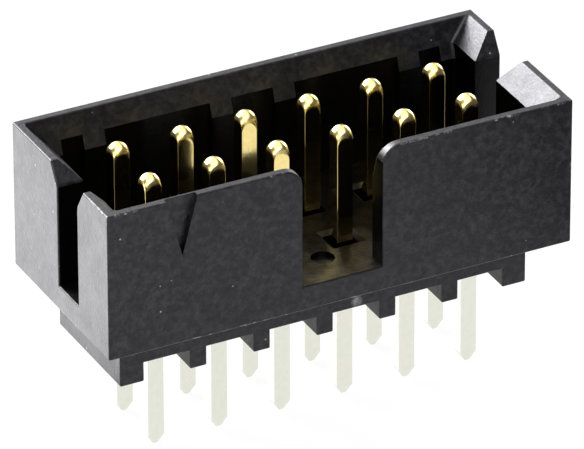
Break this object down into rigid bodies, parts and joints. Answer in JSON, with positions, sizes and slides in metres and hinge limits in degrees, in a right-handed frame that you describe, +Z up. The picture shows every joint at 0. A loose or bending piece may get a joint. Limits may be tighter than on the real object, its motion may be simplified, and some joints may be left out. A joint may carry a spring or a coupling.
{
  "type": "idc box header",
  "caption": "Low-profile shrouded pin header: black moulded box with a key slot, end slots and lead-ins round rows of square gold-tipped pins with solder tails.",
  "frame": {"origin": "on the board's face, under the middle foot, midway between the outermost pins", "axes": "+Z up from the board to the mouth; +X along the rows, away from the marked pin; key slot on the -Y side"},
  "size_m": [0.0146, 0.006, 0.0089],
  "materials": {
    "housing": "matt black glass-filled moulding, finely grained",
    "contact": "gold-plated mating end, pale tin-plated solder tail"
  },
  "bodies": {
    "root": {"housing": "housing", "pin_01": "contact", "pin_02": "contact", "pin_03": "contact", "pin_04": "contact", "pin_05": "contact", "pin_06": "contact", "pin_07": "contact", "pin_08": "contact", "pin_09": "contact", "pin_10": "contact", "pin_11": "contact", "pin_12": "contact"}
  },
  "joints": []
}
